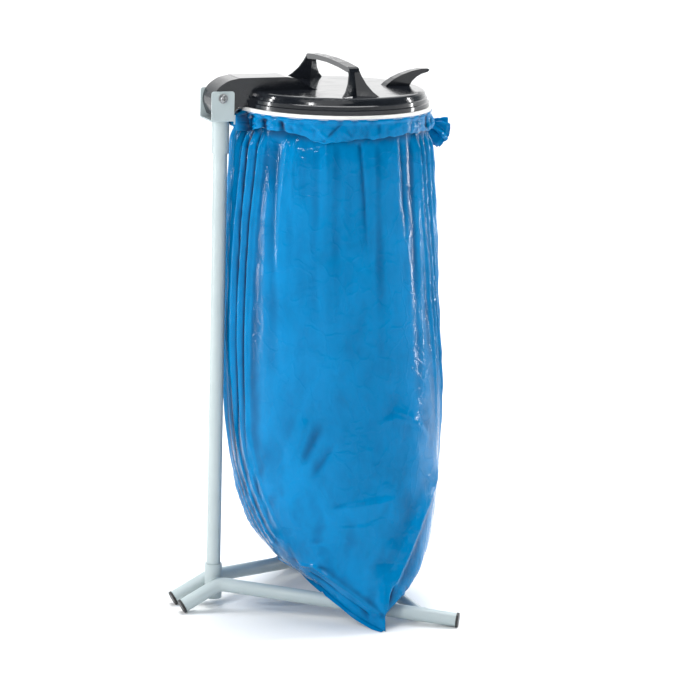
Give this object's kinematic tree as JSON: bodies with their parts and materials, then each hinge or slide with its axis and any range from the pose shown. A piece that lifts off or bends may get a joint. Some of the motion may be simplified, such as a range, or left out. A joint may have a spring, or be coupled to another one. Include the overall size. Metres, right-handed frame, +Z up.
{
  "type": "plastic bag holder",
  "caption": "Free-standing sack holder: four-footed tube base, post, hoop with a clamp ring that grips a hanging film sack, and a hinged lid with a handle.",
  "frame": {"origin": "on the floor, under the middle of the holder's bounding box", "axes": "+Z up; +X from the post towards the hoop and the lid's finger tab; the lid hinge pin runs along Y"},
  "size_m": [0.5571, 0.5778, 1.105],
  "materials": {
    "powder_coat": "satin",
    "cap_black": "satin",
    "lid_black": "gloss",
    "clamp_white": "satin",
    "film_blue": "gloss",
    "zinc": "satin"
  },
  "bodies": {
    "stand": {"front_leg_tube": "powder_coat", "rear_leg_tube": "powder_coat", "leg_cap_front_short": "cap_black", "leg_cap_front_long": "cap_black", "leg_cap_rear_short": "cap_black", "leg_cap_rear_long": "cap_black", "cross_tube": "powder_coat", "post_socket": "powder_coat", "socket_floor": "powder_coat", "post_tube": "powder_coat", "head_sleeve": "powder_coat", "hinge_bracket": "powder_coat", "hoop_bar_front": "powder_coat", "hoop_bar_rear": "powder_coat", "hoop_band": "powder_coat", "clamp_ring": "clamp_white", "sack": "film_blue", "hinge_spacer": "zinc", "hinge_washers": "zinc", "hinge_bolt": "zinc", "hinge_nut": "zinc"},
    "lid": {"lid_shell": "lid_black", "lid_handle": "lid_black", "handle_screws": "zinc"}
  },
  "joints": [
    {"name": "lid_hinge", "type": "hinge", "parent": "stand", "child": "lid", "pos_m": [-0.20342, 0, 1.0335], "axis": [0, -1, 0], "range_deg": [0, 105]}
  ]
}
